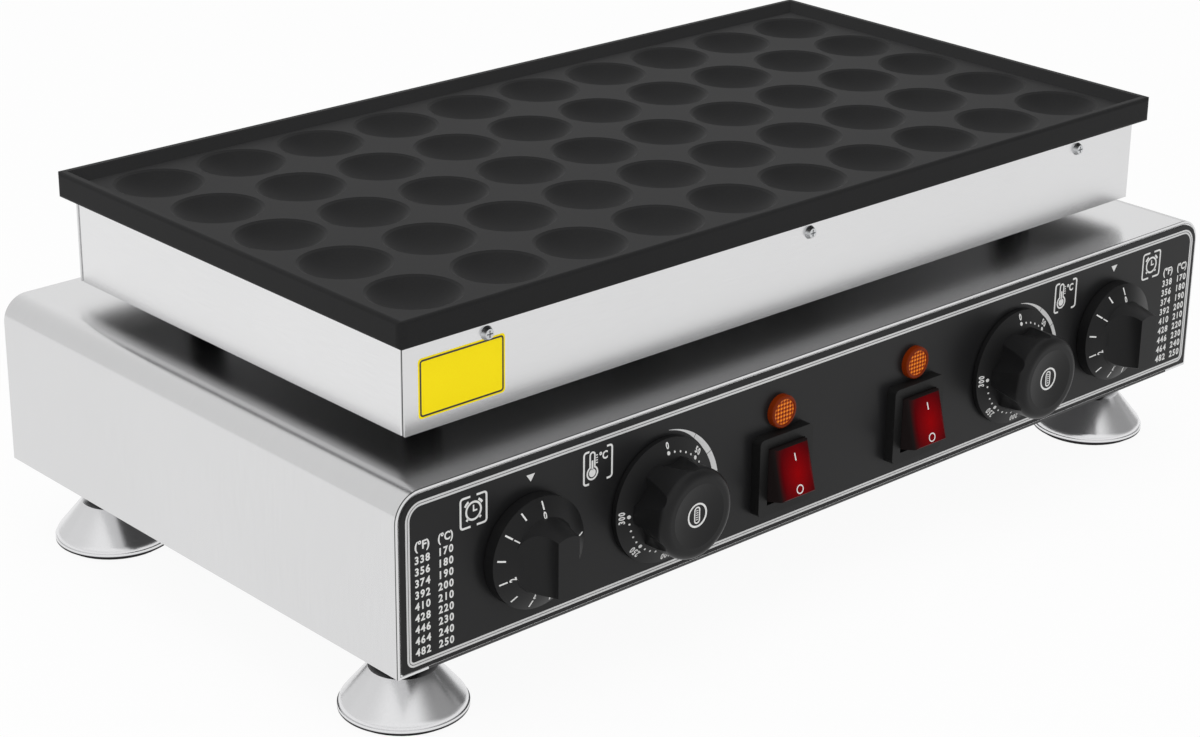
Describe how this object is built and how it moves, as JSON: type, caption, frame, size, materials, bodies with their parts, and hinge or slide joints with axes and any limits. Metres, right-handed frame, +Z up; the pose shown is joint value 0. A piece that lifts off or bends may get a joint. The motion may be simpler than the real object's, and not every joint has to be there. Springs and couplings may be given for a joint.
{
  "type": "electric muffin maker",
  "caption": "Countertop electric muffin maker: a rimmed cast plate of shallow round wells on a steel base with timers, thermostats, lamps and rocker switches.",
  "frame": {"origin": "on the floor, under the middle of the whole object's box", "axes": "+Z up, +X to the right seen from the front, the control panel faces -Y"},
  "size_m": [0.59, 0.385, 0.206],
  "materials": {
    "nonstick_casting": "cast aluminium with a black non-stick coat",
    "satin_steel": "satin stainless steel sheet",
    "zinc_steel": "zinc-plated steel",
    "blackened_steel": "blackened steel tube",
    "foot_steel": "satin turned metal",
    "fascia_black": "printed black film with silver marks",
    "knob_black": "moulded heat-proof plastic",
    "switch_black": "moulded plastic",
    "rocker_red": "clear red plastic",
    "lens_amber": "clear amber plastic",
    "foot_rubber": "matt rubber",
    "gland_nylon": "black nylon",
    "control_case": "pale moulded case",
    "terminal_ceramic": "glazed ceramic",
    "ceramic_fibre": "felted white fibre",
    "element_sheath": "dark annealed sheath",
    "capillary_copper": "drawn copper tube",
    "wire_sleeve": "braided glass sleeve"
  },
  "bodies": {
    "stand": {"griddle_plate": "nonstick_casting", "plate_screws": "zinc_steel", "apron_front": "satin_steel", "apron_rear": "satin_steel", "apron_left": "satin_steel", "apron_right": "satin_steel", "pan_bottom": "satin_steel", "insulation_mat": "ceramic_fibre", "heating_element_left": "element_sheath", "heating_element_right": "element_sheath", "clamp_bars": "zinc_steel", "clamp_screws": "zinc_steel", "probe_left": "capillary_copper", "probe_right": "capillary_copper", "heater_leads": "wire_sleeve", "cable_conduit": "zinc_steel", "post_front_left": "blackened_steel", "post_front_right": "blackened_steel", "post_rear_left": "blackened_steel", "post_rear_right": "blackened_steel", "post_bolts": "zinc_steel", "base_shell": "satin_steel", "front_panel": "satin_steel", "control_fascia": "fascia_black", "rear_panel": "satin_steel", "bottom_cover": "zinc_steel", "cover_screws": "zinc_steel", "foot_front_left": "foot_steel", "foot_front_right": "foot_steel", "foot_rear_left": "foot_steel", "foot_rear_right": "foot_steel", "foot_pads": "foot_rubber", "foot_bolts": "zinc_steel", "timer_left": "control_case", "timer_right": "control_case", "thermostat_left": "control_case", "thermostat_right": "control_case", "control_nuts": "zinc_steel", "switch_left": "switch_black", "switch_right": "switch_black", "rocker_pins": "zinc_steel", "lamp_lens_left": "lens_amber", "lamp_lens_right": "lens_amber", "lamp_body_left": "control_case", "lamp_body_right": "control_case", "lamp_nuts": "gland_nylon", "terminal_block": "terminal_ceramic", "cable_gland": "gland_nylon", "gland_nut": "gland_nylon"},
    "left_timer": {"timer_knob_left": "knob_black", "timer_shaft_left": "zinc_steel"},
    "right_timer": {"timer_knob_right": "knob_black", "timer_shaft_right": "zinc_steel"},
    "left_thermostat": {"thermostat_knob_left": "knob_black", "thermostat_shaft_left": "zinc_steel"},
    "right_thermostat": {"thermostat_knob_right": "knob_black", "thermostat_shaft_right": "zinc_steel"},
    "left_rocker": {"rocker_left": "rocker_red"},
    "right_rocker": {"rocker_right": "rocker_red"}
  },
  "joints": [
    {"name": "left_timer_turn", "type": "hinge", "parent": "stand", "child": "left_timer", "pos_m": [-0.2165, -0.1645, 0.086], "axis": [0, 1, 0], "range_deg": [0, 278]},
    {"name": "left_thermostat_turn", "type": "hinge", "parent": "stand", "child": "left_thermostat", "pos_m": [-0.132, -0.1645, 0.086], "axis": [0, -1, 0], "range_deg": [0, 269]},
    {"name": "left_switch_rock", "type": "hinge", "parent": "stand", "child": "left_rocker", "pos_m": [-0.05, -0.168, 0.0785], "axis": [1, 0, 0], "range_deg": [0, 30]},
    {"name": "right_timer_turn", "type": "hinge", "parent": "stand", "child": "right_timer", "pos_m": [0.2165, -0.1645, 0.086], "axis": [0, 1, 0], "range_deg": [0, 278]},
    {"name": "right_thermostat_turn", "type": "hinge", "parent": "stand", "child": "right_thermostat", "pos_m": [0.132, -0.1645, 0.086], "axis": [0, -1, 0], "range_deg": [0, 269]},
    {"name": "right_switch_rock", "type": "hinge", "parent": "stand", "child": "right_rocker", "pos_m": [0.05, -0.168, 0.0785], "axis": [1, 0, 0], "range_deg": [0, 30]}
  ]
}
